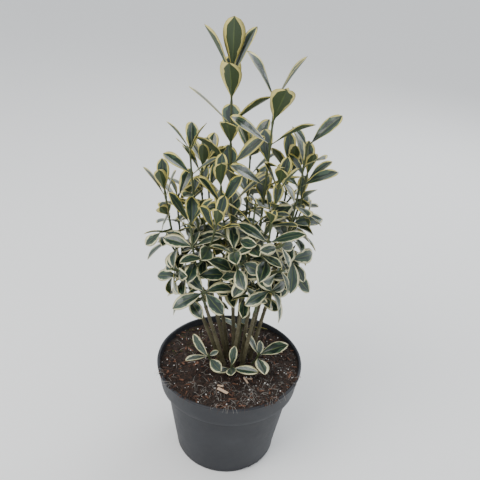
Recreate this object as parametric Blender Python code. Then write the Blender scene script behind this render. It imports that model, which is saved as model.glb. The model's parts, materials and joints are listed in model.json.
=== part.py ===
"""Variegated evergreen spindle, a many-stemmed young shrub in its round plastic nursery pot.

Metres, +Z up. The origin is the middle of the pot's flat underside, and the plant's front is -Y.
The pot is a thin turned shell, filled with compost. Canes rise from the compost. Each ends where
its foliage starts: a mass of twigs that branch from one stem, with leaves in opposite pairs, every
pair at a right angle to the next. Leaves are long and upright above, short and spreading below.
"""

import math
import random

import bmesh
import bpy
from mathutils import Matrix, Vector, noise
from mathutils.bvhtree import BVHTree

MM = 0.001
GAP = 0.3 * MM  # left between solids that meet

# Pot: a 17 cm nursery pot with a deep lip band
POT_HEIGHT = 124 * MM
POT_FOOT_RADIUS = 60.3 * MM
POT_BODY_RADIUS = 74.4 * MM  # right under the lip band
POT_BAND_RADIUS = 80.7 * MM  # at the foot of the lip band
POT_RIM_RADIUS = 85 * MM
POT_BAND_HEIGHT = 27.5 * MM
POT_WALL = 1.3 * MM
POT_FLOOR = 1.6 * MM
POT_BEAD = 1.6 * MM  # the rim stands out and down by this
POT_SIDES = 32
DRAIN_GROUPS = (-52, 68, 188)  # bearings of the drain slots, three to a group
DRAIN_STEP = 11  # degrees between the slots of a group
DRAIN_SLOT = (6 * MM, 9 * MM, 5 * MM)  # radial, across, high

# Compost: heaped towards the front right, sunk at the back left
SOIL_LEVEL = 118 * MM
SOIL_TILT = 3.2 * MM
SOIL_LUMP = 2.2 * MM
SOIL_LUMP_SIZE = 17 * MM
SOIL_HEAP_BEARING = -50
SOIL_RING_SHARES = (1, 0.8, 0.55, 0.28, 0)
CLUMP = Vector((8 * MM, 4 * MM, SOIL_LEVEL))  # where the canes come up
CLUMP_FLAT = 46 * MM  # the compost is level this far round the clump

# Wood
CANE_RADIUS = 2.6 * MM
CANE_TOP_RADIUS = 1.9 * MM
CANE_FLARE = 1.0 * MM  # added at the ground
CANE_FLARE_HEIGHT = 9 * MM
CANE_TOP = 212 * MM  # height where a cane ends and its foliage starts
CANE_SIDES = 6
CANE_STEP = 30 * MM
TWIG_RADIUS = 1.8 * MM
TWIG_TIP_RADIUS = 1.1 * MM
TWIG_STEP = 30 * MM
SIDE_RADIUS = 1.3 * MM

# Leaves: station along the leaf, and half width there as a share of the widest
LEAF_OUTLINE = ((0, 0), (0.42, 0.78), (0.74, 0.96), (1, 0))
LEAF_WIDTH = 0.37  # of its length, on the upper shoots
LOW_LEAF_WIDTH = 0.47
LEAF_THICKNESS = 0.016  # of its length, at the midrib
LEAF_LEAST = 0.6 * MM
LEAF_KEEL = (0.1, 0.34)  # how far the margins stand up, as a share of the half width
LEAF_ROLL = 36  # degrees either way about its own length
LEAF_CLEARANCE = 0.45 * MM
LEAF_TRIES = 6
TOP_BUD = 1.4 * MM  # from a twig's end to its first pair
NODE_GAP = 21  # between pairs from the second down, in mm
NEAR_GAP = 5  # between the top two pairs of most shoots, in mm
LOW_NODE_GAP = 17 * MM
NODE_SHARES = (0.94, 1.0, 0.93, 0.88)  # of the shoot's leaf length, from the top down
BARE_FOOT = 5 * MM  # of a twig, below its lowest pair

# The dome of short spreading leaves round the foot of the foliage
DOME_TOP = 318 * MM  # leaves start to spread below this height
DOME_FULL = 268 * MM  # and are fully spread below this one
DOME_OPENING = 80  # degrees from the stem
DOME_LEAF = 0.78  # of the upper leaves' length
DOME_DROOP = 24  # degrees that a leaf bends down over its length
WHORL_HEIGHTS = (234, 266)  # where side twigs leave a stem
WHORL_REACH = (12, 27)  # their length
WHORL_RISE = (5, 42)  # degrees above level
WHORL_LEAF = 37
WHORL_SPREAD = 75  # degrees either side of straight out from the middle of the plant
WHORL_OPENING = 66

# The crown's outline: height, and how far from its leaning middle it may reach
CROWN = ((125, 80), (200, 84), (236, 100), (354, 102), (425, 98), (480, 70), (510, 46))
CROWN_LEAN = -0.02  # sideways for each unit of height

SEED = 23

# Stems: foot, place of the top bud, length of its leaves, bearing of the top pair,
# how far the top pair opens from the stem in degrees, and the gap to the next pair
STEMS = {
    "leader": ((5, 8), (-14, 0, 451), 56, 92, 9, NEAR_GAP),
    "right_leader": ((14, 2), (26, -14, 433), 56, 8, 30, NODE_GAP),
    "right": ((24, 8), (61, -5, 389), 46, 14, 36, NODE_GAP),
    "left": ((-4, 7), (-50, -10, 381), 38, 172, 30, NEAR_GAP),
    "far_left": ((-11, 0), (-73, -15, 337), 35, 80, 12, NEAR_GAP),
    "front_left": ((-6, -7), (-45, -40, 316), 42, 172, 24, NEAR_GAP),
    "front": ((4, -9), (15, -37, 338), 40, 95, 32, NODE_GAP),
    "front_right": ((15, -8), (31, -48, 326), 40, 84, 34, NODE_GAP),
    "back_left": ((-3, 17), (-36, 40, 346), 42, 60, 22, NEAR_GAP),
    "back": ((8, 20), (8, 46, 362), 44, 25, 22, NEAR_GAP),
    "back_right": ((20, 18), (50, 34, 350), 42, 110, 22, NEAR_GAP),
}

# Side shoots: the stem each leaves and at what height, then as for a stem without the foot
SIDE_SHOOTS = (
    ("leader", 268, (-18, -30, 351), 40, 92, 14, NODE_GAP),
    ("right_leader", 284, (36, -32, 358), 34, 80, 16, NEAR_GAP),
    ("right", 290, (66, 14, 352), 38, 95, 24, NEAR_GAP),
    ("left", 262, (-40, 16, 352), 38, 80, 22, NEAR_GAP),
    ("front", 250, (-2, -58, 300), 38, 95, 38, NEAR_GAP),
    ("front_left", 262, (-20, -52, 322), 36, 85, 28, NEAR_GAP),
    ("far_left", 250, (-64, 16, 318), 36, 60, 26, NEAR_GAP),
    ("back", 262, (14, 66, 312), 38, 60, 30, NEAR_GAP),
    ("back_right", 258, (70, 46, 306), 36, 130, 30, NEAR_GAP),
    ("back_left", 258, (-52, 56, 306), 36, 40, 30, NEAR_GAP),
)

# Sprigs that rise from the foot of the clump, told in the same way
SPRIGS = {
    "left": ((-16, -8), (-24, -18, 140), 34, 215, 58, NEAR_GAP),
    "front": ((2, -18), (3, -27, 134), 32, 265, 50, NEAR_GAP),
    "right": ((26, -4), (33, -9, 139), 40, 12, 52, NEAR_GAP),
    "back": ((10, 31), (12, 40, 140), 34, 70, 52, NEAR_GAP),
}


def clear_scene():
    for obj in list(bpy.data.objects):
        bpy.data.objects.remove(obj, do_unlink=True)


def material(name, colour, roughness):
    made = bpy.data.materials.new(name)
    made.use_nodes = True
    shader = made.node_tree.nodes["Principled BSDF"]
    shader.inputs["Base Color"].default_value = (*colour, 1)
    shader.inputs["Roughness"].default_value = roughness
    shader.inputs["Metallic"].default_value = 0
    return made


def finish(name, bm, surface):
    """The bmesh as a named object in the scene, with outward faces."""
    bmesh.ops.recalc_face_normals(bm, faces=bm.faces)
    mesh = bpy.data.meshes.new(name)
    bm.to_mesh(mesh)
    bm.free()
    mesh.materials.append(surface)
    obj = bpy.data.objects.new(name, mesh)
    bpy.context.scene.collection.objects.link(obj)
    return obj


def is_closed(mesh):
    bm = bmesh.new()
    bm.from_mesh(mesh)
    closed = all(edge.is_manifold for edge in bm.edges)
    bm.free()
    return closed


def apply_boolean(obj, operation, collection):
    """Joins or cuts the collection's objects into obj, then removes them."""
    for solver in ("EXACT", "MANIFOLD"):
        change = obj.modifiers.new(operation.title(), "BOOLEAN")
        change.operation = operation
        change.operand_type = "COLLECTION"
        change.collection = collection
        change.solver = solver
        graph = bpy.context.evaluated_depsgraph_get()
        done = bpy.data.meshes.new_from_object(obj.evaluated_get(graph))
        obj.modifiers.remove(change)
        if is_closed(done):
            break
    obj.data = done
    for other in list(collection.objects):
        bpy.data.objects.remove(other, do_unlink=True)
    bpy.data.collections.remove(collection)


def new_collection(name):
    group = bpy.data.collections.new(name)
    bpy.context.scene.collection.children.link(group)
    return group


def turned(profile, sides):
    """A closed solid: the profile of (radius, height) points spun round +Z."""
    bm = bmesh.new()
    points = [bm.verts.new((r, 0, z)) for r, z in profile]
    edges = [bm.edges.new(pair) for pair in zip(points, points[1:])]
    bmesh.ops.spin(
        bm,
        geom=points + edges,
        axis=(0, 0, 1),
        cent=(0, 0, 0),
        angle=math.tau,
        steps=sides,
        use_merge=True,
    )
    bmesh.ops.remove_doubles(bm, verts=bm.verts, dist=0.01 * MM)
    return bm


# The pot


def make_pot(surface):
    band_foot = POT_HEIGHT - POT_BAND_HEIGHT
    corner = 1.8 * MM
    outside = [
        (0, 0),
        (POT_FOOT_RADIUS - corner, 0),
        (POT_FOOT_RADIUS, corner),
        (POT_BODY_RADIUS, band_foot),
        (POT_BAND_RADIUS, band_foot),
        (POT_RIM_RADIUS - POT_BEAD / 2, POT_HEIGHT - 1.5 * POT_BEAD),
        (POT_RIM_RADIUS, POT_HEIGHT - POT_BEAD),
        (POT_RIM_RADIUS - POT_BEAD / 4, POT_HEIGHT),
    ]
    inside = [
        (POT_RIM_RADIUS - POT_BEAD / 2 - POT_WALL, POT_HEIGHT),
        (POT_BAND_RADIUS - POT_WALL, band_foot + POT_WALL),
        (POT_BODY_RADIUS - POT_WALL, band_foot + POT_WALL),
        (POT_FOOT_RADIUS - POT_WALL, POT_FLOOR),
        (0, POT_FLOOR),
    ]
    pot = finish("pot", turned(outside + inside, POT_SIDES), surface)
    slots = new_collection("slots")
    for group in DRAIN_GROUPS:
        for place in (-1, 0, 1):
            cutter = bmesh.new()
            turn = Matrix.Rotation(math.radians(group + place * DRAIN_STEP), 4, "Z")
            shift = Matrix.Translation((POT_FOOT_RADIUS, 0, 0))
            size = Matrix.Diagonal((*DRAIN_SLOT, 1))
            bmesh.ops.create_cube(cutter, size=1, matrix=turn @ shift @ size)
            slots.objects.link(finish("slot", cutter, surface))
    apply_boolean(pot, "DIFFERENCE", slots)
    return pot


# The compost


def soil_height(x, y):
    """The lie of the compost: tilted, lumpy, and level round the clump."""
    heap = math.radians(SOIL_HEAP_BEARING)
    along = (x * math.cos(heap) + y * math.sin(heap)) / POT_RIM_RADIUS
    place = Vector((x, y, 0)) / SOIL_LUMP_SIZE
    rough = SOIL_TILT * along + SOIL_LUMP * noise.noise(place)
    away = (Vector((x, y, SOIL_LEVEL)) - CLUMP).length / CLUMP_FLAT
    return SOIL_LEVEL + rough * min(1, max(0, away - 1) * 3)


def make_soil(surface):
    inside = POT_WALL + GAP
    band_foot = POT_HEIGHT - POT_BAND_HEIGHT + inside
    edge = POT_RIM_RADIUS - POT_BEAD / 2 - inside - 2 * MM
    outline = [
        (0, POT_FLOOR + GAP),
        (POT_FOOT_RADIUS - inside, POT_FLOOR + GAP),
        (POT_BODY_RADIUS - inside - 0.2 * MM, band_foot),
        (POT_BAND_RADIUS - inside, band_foot),
    ] + [(edge * share, SOIL_LEVEL) for share in SOIL_RING_SHARES]
    bm = turned(outline, POT_SIDES)
    for vert in bm.verts:
        if vert.co.z > SOIL_LEVEL - MM:
            vert.co.z = soil_height(vert.co.x, vert.co.y)
    return finish("compost", bm, surface)


# Stems and twigs


class Curve:
    """A stem's smooth middle line, read by the distance along it from its foot."""

    PIECES = 60

    def __init__(self, foot, foot_way, top, top_way, stiff=0.4):
        reach = (top - foot).length * stiff
        rods = (foot, foot + foot_way * reach, top - top_way * reach, top)
        self.points = [self.bezier(rods, i / self.PIECES) for i in range(self.PIECES + 1)]
        self.lengths = [0]
        for a, b in zip(self.points, self.points[1:]):
            self.lengths.append(self.lengths[-1] + (b - a).length)
        self.length = self.lengths[-1]

    @staticmethod
    def bezier(rods, t):
        a, b, c, d = rods
        s = 1 - t
        return a * s**3 + b * 3 * s * s * t + c * 3 * s * t * t + d * t**3

    def at(self, along):
        """(place, way) this far along."""
        i = 0
        while i < self.PIECES - 1 and self.lengths[i + 1] < along:
            i += 1
        a, b = self.points[i], self.points[i + 1]
        share = (along - self.lengths[i]) / (self.lengths[i + 1] - self.lengths[i])
        return a.lerp(b, min(1, max(0, share))), (b - a).normalized()

    def along_at_height(self, z):
        for here, point in zip(self.lengths, self.points):
            if point.z >= z:
                return here
        return self.length


def stations(curve, start, end, step, radius, end_radius):
    """(place, way, radius) at even steps along a tapering stretch."""
    count = max(2, round((end - start) / step))
    found = []
    for i in range(count + 1):
        share = i / count
        place, way = curve.at(start + (end - start) * share)
        found.append((place, way, radius + (end_radius - radius) * share))
    return found


def tube(rings, sides):
    """A tapering rod through (place, way, radius) rings, capped at both ends."""
    bm = bmesh.new()
    loops = []
    for place, way, radius in rings:
        across = (Vector((1, 0, 0)) - way * way.x).normalized()
        turn = Matrix((across, way.cross(across), way)).transposed().to_4x4()
        made = bmesh.ops.create_circle(
            bm, segments=sides, radius=radius, matrix=Matrix.Translation(place) @ turn
        )
        loops.append(made["verts"])
    for low, high in zip(loops, loops[1:]):
        for i in range(sides):
            j = (i + 1) % sides
            bm.faces.new((low[i], low[j], high[j], high[i]))
    bm.faces.new(loops[0])
    bm.faces.new(loops[-1])
    bmesh.ops.recalc_face_normals(bm, faces=bm.faces)
    return bm


def upward(lean):
    """A way up that leans along lean."""
    return (Vector((0, 0, 1)) + lean).normalized()


def stem_curve(foot, top):
    foot = Vector((foot[0] * MM, foot[1] * MM, SOIL_LEVEL + GAP))
    top = Vector(top) * MM
    lean = (top - foot) / (top.z - foot.z)
    lean.z = 0
    return Curve(foot, upward(lean * 1.1), top, upward(lean * 0.4))


def cane(curve):
    """A cane from its flat cut at the ground to where its foliage starts."""
    end = curve.along_at_height(CANE_TOP)
    rings = stations(curve, 0, end, CANE_STEP, CANE_RADIUS, CANE_TOP_RADIUS)
    place, way, radius = rings[0]
    flare = stations(curve, CANE_FLARE_HEIGHT / 3, CANE_FLARE_HEIGHT, CANE_FLARE_HEIGHT, radius, radius)
    foot = (place, Vector((0, 0, 1)), radius + CANE_FLARE)
    return tube([foot] + flare[::2] + rings[1:], CANE_SIDES), end


# Leaves


def leaf_blade(bm, pose, grow=0.0, from_station=0):
    """A lens-shaped leaf: sharp at its margins, thick at its midrib, its root sunk in the stem."""
    root, way, up, length, width, keel, curl = pose
    side = way.cross(up)
    outline = LEAF_OUTLINE[from_station:]
    thick = max(LEAF_LEAST, LEAF_THICKNESS * length) / 2 + grow
    for face in (1, -1):
        rows = len(outline) - 1
        made = bmesh.ops.create_grid(bm, x_segments=2, y_segments=rows, size=1)["verts"]
        for vert in made:
            column = round(vert.co.x)
            share, half = outline[round((vert.co.y + 1) / 2 * rows)]
            half = half * width / 2 + (grow if half else 0)
            bend = curl * share
            ahead = way * math.cos(bend) - up * math.sin(bend)
            above = up * math.cos(bend) + way * math.sin(bend)
            rise = keel * half * abs(column) + thick * face * (column == 0) * (share < 1)
            vert.co = root + ahead * (length * share) + side * (half * column) + above * rise
    bmesh.ops.triangulate(bm, faces=bm.faces, quad_method="FIXED")
    bmesh.ops.remove_doubles(bm, verts=bm.verts, dist=0.01 * MM)


def leaf_pose(curve, along, bearing, opening, length, width, keel, roll, curl):
    """Where a leaf sits: (root, its way, its upper side, length, width, keel, curl)."""
    place, way = curve.at(along)
    out = Vector((math.cos(bearing), math.sin(bearing), 0))
    out = (out - way * out.dot(way)).normalized()
    ahead = way * math.cos(opening) + out * math.sin(opening)
    up = way * math.sin(opening) - out * math.cos(opening)
    up = Matrix.Rotation(roll, 3, ahead) @ up
    return place - ahead * (0.3 * MM), ahead, up, length, width, keel, curl


class Space:
    """What stands already, so that nothing new runs into it."""

    def __init__(self):
        self.items = []

    @staticmethod
    def bounds(bm):
        corners = [vert.co for vert in bm.verts]
        low = [min(c[i] for c in corners) for i in range(3)]
        high = [max(c[i] for c in corners) for i in range(3)]
        return low, high

    def add(self, twig, part, bm):
        self.items.append((twig, part, *self.bounds(bm), BVHTree.FromBMesh(bm)))

    def meets(self, bm, wanted):
        """True if the bmesh cuts an item for which wanted(twig, part) holds."""
        low, high = self.bounds(bm)
        tree = BVHTree.FromBMesh(bm)
        for twig, part, item_low, item_high, item in self.items:
            apart = any(high[i] < item_low[i] or low[i] > item_high[i] for i in range(3))
            if not apart and wanted(twig, part) and item.overlap(tree):
                return True
        return False


def crown_reach(z):
    heights = [(height * MM, reach * MM) for height, reach in CROWN]
    for (low, reach), (high, higher_reach) in zip(heights, heights[1:]):
        if z <= high:
            return reach + (higher_reach - reach) * max(0, z - low) / (high - low)
    return heights[-1][1]


def in_crown(place):
    middle = CROWN_LEAN * (place.z - SOIL_LEVEL)
    return math.hypot(place.x - middle, place.y) < crown_reach(place.z)


def leaf_fits(space, twig, pose):
    """True if the leaf, a little swollen, is in the crown and clear of all but its own root."""
    root, way, up, length, width, keel, curl = pose
    tip = root + (way * math.cos(curl) - up * math.sin(curl)) * length
    if not in_crown(tip):
        return False
    whole = bmesh.new()
    leaf_blade(whole, pose, LEAF_CLEARANCE)
    blade = bmesh.new()
    leaf_blade(blade, pose, LEAF_CLEARANCE, 1)
    meets = space.meets(whole, lambda other, part: other != twig and part != "blade")
    meets = meets or space.meets(blade, lambda other, part: other == twig and part != "root")
    whole.free()
    blade.free()
    return not meets


def dome_share(z):
    """0 among the upright shoots, 1 down in the dome of spreading leaves."""
    return min(1, max(0, (DOME_TOP - z) / (DOME_TOP - DOME_FULL)))


class Twig:
    """A leafy stem: its line, its first leafy point, and how its leaves are set."""

    def __init__(self, name, curve, start, radius, leaf, bearing, opening, gap):
        self.name = name
        self.curve = curve
        self.start = start
        self.leaf = leaf * MM
        self.bearing = bearing
        self.opening = opening
        self.gap = gap * MM
        end = curve.length
        self.tube = tube(stations(curve, start, end, TWIG_STEP, radius, TWIG_TIP_RADIUS), 3)

    def grow_leaves(self, space, chance):
        """Leaves in pairs from the top down. A leaf that finds no room is left out."""
        leaves = []
        down = TOP_BUD
        node = 0
        while down < self.curve.length - self.start - BARE_FOOT:
            for half in (0, 180):
                leaf = self.grow_leaf(space, chance, node, down, half)
                if leaf:
                    leaves.append(leaf)
            height = self.curve.at(self.curve.length - down)[0].z
            gap = self.gap if node == 0 else NODE_GAP * MM
            down += min(gap, gap + (LOW_NODE_GAP - gap) * dome_share(height))
            node += 1
        return leaves

    def grow_leaf(self, space, chance, node, down, half):
        along = self.curve.length - down
        low = 0 if self.name.startswith("sprig") else dome_share(self.curve.at(along)[0].z)
        size = self.leaf * NODE_SHARES[min(node, len(NODE_SHARES) - 1)]
        size *= 1 - (1 - DOME_LEAF) * low * (self.leaf > WHORL_LEAF * MM)
        opening = self.opening + min(34, 11 * node)
        opening += max(0, DOME_OPENING - opening) * low
        for attempt in range(LEAF_TRIES):
            sway = 5 + 7 * attempt
            bearing = self.bearing + half + 90 * node + chance.uniform(-sway, sway)
            lean = opening + chance.uniform(-sway, sway) * 0.7
            pose = leaf_pose(
                self.curve,
                along,
                math.radians(bearing),
                math.radians(max(5, lean)),
                size * chance.uniform(0.88, 1.08) * (1 - 0.05 * attempt),
                size * chance.uniform(0.92, 1.08) * (LEAF_WIDTH + (LOW_LEAF_WIDTH - LEAF_WIDTH) * low),
                chance.uniform(*LEAF_KEEL),
                math.radians(chance.uniform(-LEAF_ROLL, LEAF_ROLL)),
                math.radians(chance.uniform(2, 9) + DOME_DROOP * low * chance.uniform(0.4, 1)),
            )
            if leaf_fits(space, self.name, pose):
                whole = bmesh.new()
                leaf_blade(whole, pose)
                blade = bmesh.new()
                leaf_blade(blade, pose, 0, 1)
                space.add(self.name, "root", whole)
                space.add(self.name, "blade", blade)
                blade.free()
                return whole
        return None


def whorl_twigs(space, name, curve, chance):
    """The short side twigs by which a stem fills its part of the dome."""
    grown = []
    for count, height in enumerate(WHORL_HEIGHTS):
        place, way = curve.at(curve.along_at_height(height * MM + chance.uniform(-4, 4) * MM))
        if place.z > curve.points[-1].z - 26 * MM:
            break
        outward = math.degrees(math.atan2(place.y - CLUMP.y * 0.5, place.x - CLUMP.x * 0.5))
        bearing = math.radians(outward + chance.uniform(-WHORL_SPREAD, WHORL_SPREAD))
        rise = math.radians(chance.uniform(*WHORL_RISE))
        reach = chance.uniform(*WHORL_REACH) * MM
        level = Vector((math.cos(bearing), math.sin(bearing), 0))
        out = level * math.cos(rise) + Vector((0, 0, math.sin(rise)))
        top = place + out * reach
        line = Curve(place, level, top, (out + Vector((0, 0, 0.5))).normalized(), 0.3)
        twig = Twig(
            f"{name}/{count}",
            line,
            0,
            SIDE_RADIUS,
            WHORL_LEAF * chance.uniform(0.86, 1.08),
            math.degrees(bearing) + chance.uniform(-30, 30),
            WHORL_OPENING,
            NEAR_GAP,
        )
        swollen = tube(stations(line, 4 * MM, line.length + 4 * MM, 9 * MM, 3 * MM, 3 * MM), 5)
        if in_crown(top + out * 20 * MM) and not space.meets(swollen, lambda other, part: True):
            space.add(twig.name, "stem", twig.tube)
            grown.append(twig)
        swollen.free()
    return grown


def fuse(name, twigs, leaves, surface):
    """One solid of a mass's twigs and leaves."""
    stem = finish(name, twigs[0], surface)
    group = new_collection(name)
    for bm in twigs[1:] + leaves:
        group.objects.link(finish("piece", bm, surface))
    apply_boolean(stem, "UNION", group)
    keep_largest(stem.data)
    return stem


def keep_largest(mesh):
    """Drops what isn't joined to the largest piece: scraps, and the skin of a sealed hollow."""
    bm = bmesh.new()
    bm.from_mesh(mesh)
    left = set(bm.verts)
    pieces = []
    while left:
        piece = {left.pop()}
        edge_of = list(piece)
        while edge_of:
            near = {e.other_vert(v) for v in edge_of for e in v.link_edges} - piece
            piece |= near
            edge_of = list(near)
        left -= piece
        pieces.append(piece)
    pieces.sort(key=len)
    for piece in pieces[:-1]:
        bmesh.ops.delete(bm, geom=list(piece), context="VERTS")
    bm.to_mesh(mesh)
    bm.free()


def grow_plant(space, bark, foliage):
    chance = random.Random(SEED)
    curves = {}
    masses = {}
    for name, (foot, top, *leafing) in STEMS.items():
        curve = stem_curve(foot, top)
        wood, end = cane(curve)
        space.add("cane/" + name, "stem", wood)
        finish("cane_" + name, wood, bark)
        curves[name] = curve
        masses[name] = [Twig(name, curve, end + GAP, TWIG_RADIUS, *leafing)]
        space.add(name, "stem", masses[name][0].tube)
    for count, (parent, height, top, *leafing) in enumerate(SIDE_SHOOTS):
        curve = curves[parent]
        place, way = curve.at(curve.along_at_height(height * MM))
        top = Vector(top) * MM
        out = top - place
        out = (out - way * out.dot(way)).normalized()
        line = Curve(place, (out + way).normalized(), top, upward(out * 0.2), 0.35)
        twig = Twig(f"{parent}+{count}", line, 0, SIDE_RADIUS, *leafing)
        masses[parent].append(twig)
        space.add(twig.name, "stem", twig.tube)
    for name, curve in curves.items():
        masses[name] += whorl_twigs(space, name, curve, chance)
    for name, (foot, top, *leafing) in SPRIGS.items():
        line = stem_curve(foot, top)
        name = "sprig_" + name
        masses[name] = [Twig(name, line, SIDE_RADIUS, SIDE_RADIUS, *leafing)]
        space.add(name, "stem", masses[name][0].tube)
    leaf_count = 0
    for name, twigs in masses.items():
        leaves = []
        for twig in twigs:
            leaves += twig.grow_leaves(space, chance)
        leaf_count += len(leaves)
        label = name if name.startswith("sprig_") else "foliage_" + name
        fuse(label, [twig.tube for twig in twigs], leaves, foliage)
    print(leaf_count, "leaves on", sum(len(twigs) for twigs in masses.values()), "twigs")


def main():
    clear_scene()
    black = material("pot_plastic", (0.03, 0.032, 0.038), 0.5)
    brown = material("compost", (0.05, 0.032, 0.022), 0.95)
    bark = material("bark", (0.16, 0.15, 0.08), 0.75)
    foliage = material("foliage", (0.1, 0.16, 0.07), 0.4)
    space = Space()
    for name, obj in (("pot", make_pot(black)), ("compost", make_soil(brown))):
        bm = bmesh.new()
        bm.from_mesh(obj.data)
        space.add(name, "body", bm)
        bm.free()
    grow_plant(space, bark, foliage)


main()
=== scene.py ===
"""Looks of the variegated evergreen spindle in its black nursery pot, in metres, +Z up."""

import json
import math
import random

import bmesh
import bpy
from mathutils import Matrix, Vector, noise
from mathutils.bvhtree import BVHTree

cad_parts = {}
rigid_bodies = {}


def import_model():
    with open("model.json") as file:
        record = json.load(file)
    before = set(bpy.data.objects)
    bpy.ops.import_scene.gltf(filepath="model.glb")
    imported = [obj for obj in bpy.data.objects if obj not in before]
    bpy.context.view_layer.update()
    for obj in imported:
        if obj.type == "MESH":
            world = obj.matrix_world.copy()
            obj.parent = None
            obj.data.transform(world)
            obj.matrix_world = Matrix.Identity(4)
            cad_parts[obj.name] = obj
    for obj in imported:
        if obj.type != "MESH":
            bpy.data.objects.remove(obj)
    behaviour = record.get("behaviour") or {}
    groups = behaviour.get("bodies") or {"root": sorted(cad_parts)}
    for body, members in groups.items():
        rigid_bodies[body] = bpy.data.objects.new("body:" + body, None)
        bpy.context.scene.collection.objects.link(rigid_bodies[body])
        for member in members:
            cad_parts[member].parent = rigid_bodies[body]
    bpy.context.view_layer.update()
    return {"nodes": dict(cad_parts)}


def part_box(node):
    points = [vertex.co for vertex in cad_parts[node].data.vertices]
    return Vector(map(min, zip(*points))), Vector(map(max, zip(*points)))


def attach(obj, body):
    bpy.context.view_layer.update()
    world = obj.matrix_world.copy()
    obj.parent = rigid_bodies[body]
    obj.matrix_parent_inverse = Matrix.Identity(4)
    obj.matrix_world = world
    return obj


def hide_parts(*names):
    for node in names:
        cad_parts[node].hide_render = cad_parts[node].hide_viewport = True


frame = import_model()
MM = 0.001

# Camera: a phone held half a metre away, at the height of the plant's tip and tilted a little.
# It looks down at the pot by 28 degrees.
CAMERA_AWAY = 0.510
CAMERA_HEIGHT = 0.552
CAMERA_ASIDE = 0.003
CAMERA_DOWN = 28
CAMERA_ROLL = 3.8
CAMERA_LENS = 41.5

lens = bpy.data.cameras.new("camera")
lens.lens = CAMERA_LENS
lens.clip_start = 0.01
camera = bpy.data.objects.new("camera", lens)
bpy.context.scene.collection.objects.link(camera)
camera.location = (CAMERA_ASIDE, -CAMERA_AWAY, CAMERA_HEIGHT)
tilt = Matrix.Rotation(math.radians(90 - CAMERA_DOWN), 4, "X")
camera.rotation_euler = (tilt @ Matrix.Rotation(math.radians(CAMERA_ROLL), 4, "Z")).to_euler()
bpy.context.scene.camera = camera

# Studio: a pale matt floor under a bright even sky, a broad soft lamp above the front left,
# and a weaker one behind the right, as in an open shed on a clear day.
FLOOR_SIDE = 60
FLOOR_COLOUR = (0.86, 0.86, 0.85)
SKY_COLOUR = (0.93, 0.96, 1, 1)
SKY_STRENGTH = 1.05
LAMPS = (
    ("key_lamp", (-0.9, -0.8, 1.7), 1.1, 26, (1, 0.98, 0.95)),
    ("back_lamp", (0.9, 1.1, 1.3), 1.0, 13, (0.93, 0.97, 1)),
)

world = bpy.data.worlds.new("sky")
world.use_nodes = True
world.node_tree.nodes["Background"].inputs["Color"].default_value = SKY_COLOUR
world.node_tree.nodes["Background"].inputs["Strength"].default_value = SKY_STRENGTH
bpy.context.scene.world = world
for name, place, side, power, colour in LAMPS:
    lamp = bpy.data.lights.new(name, "AREA")
    lamp.size = side
    lamp.energy = power
    lamp.color = colour
    holder = bpy.data.objects.new(name, lamp)
    holder.location = place
    holder.rotation_euler = (Vector((0, 0, 0.25)) - Vector(place)).to_track_quat("-Z", "Y").to_euler()
    bpy.context.scene.collection.objects.link(holder)


def piece_of(name, bm, materials, smooth=True):
    """The bmesh as a named object at the origin, with its materials."""
    mesh = bpy.data.meshes.new(name)
    bm.to_mesh(mesh)
    bm.free()
    for made in materials:
        mesh.materials.append(made)
    if smooth:
        mesh.shade_smooth()
    obj = bpy.data.objects.new(name, mesh)
    bpy.context.scene.collection.objects.link(obj)
    return obj


class Sum:
    """A shader value: arithmetic on it adds Math nodes."""

    def __init__(self, finish, socket):
        self.finish = finish
        self.socket = socket

    def math(self, operation, a, b):
        return self.finish.node("ShaderNodeMath", {"operation": operation}, {0: a, 1: b}).out(0)

    def __add__(self, other):
        return self.math("ADD", self, other)

    __radd__ = __add__

    def __mul__(self, other):
        return self.math("MULTIPLY", self, other)

    __rmul__ = __mul__

    def __sub__(self, other):
        return self.math("SUBTRACT", self, other)

    def __rsub__(self, other):
        return self.math("SUBTRACT", other, self)


class Node:
    """A shader node, read by the names of its outputs."""

    def __init__(self, finish, node):
        self.finish = finish
        self.node = node

    def out(self, name):
        return Sum(self.finish, self.node.outputs[name])


class Finish:
    """A material with one Principled shader, whose other nodes come from one method."""

    def __init__(self, name, colour, roughness, **sockets):
        self.made = bpy.data.materials.new(name)
        self.made.use_nodes = True
        self.tree = self.made.node_tree
        self.shader = self.tree.nodes["Principled BSDF"]
        self.shader.inputs["Base Color"].default_value = (*colour, 1)
        self.shader.inputs["Roughness"].default_value = roughness
        for socket, value in sockets.items():
            self.shader.inputs[socket.replace("_", " ")].default_value = value

    def link(self, value, socket):
        if isinstance(value, Sum):
            self.tree.links.new(value.socket, socket)
        else:
            socket.default_value = value

    def node(self, kind, settings=None, inputs=None):
        made = self.tree.nodes.new(kind)
        for key, value in (settings or {}).items():
            if key == "stops":
                for place, colour in value:
                    stop = made.color_ramp.elements.new(place)
                    stop.color = colour
                made.color_ramp.elements.remove(made.color_ramp.elements[0])
                made.color_ramp.elements.remove(made.color_ramp.elements[-1])
            else:
                setattr(made, key, value)
        for key, value in (inputs or {}).items():
            self.link(value, made.inputs[key])
        return Node(self, made)

    def noise(self, size, detail=3.0, rough=0.5):
        """Noise with blots of this size, on Object coordinates."""
        place = self.node("ShaderNodeTexCoord").out("Object")
        cloud = {"Vector": place, "Scale": 1 / size, "Detail": detail, "Roughness": rough}
        return self.node("ShaderNodeTexNoise", {}, cloud).out("Fac")

    def set(self, socket, value):
        self.link(value, self.shader.inputs[socket])

    def bump(self, height, depth, strength=1.0):
        relief = {"Height": height, "Distance": depth, "Strength": strength}
        self.set("Normal", self.node("ShaderNodeBump", {}, relief).out("Normal"))


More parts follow.
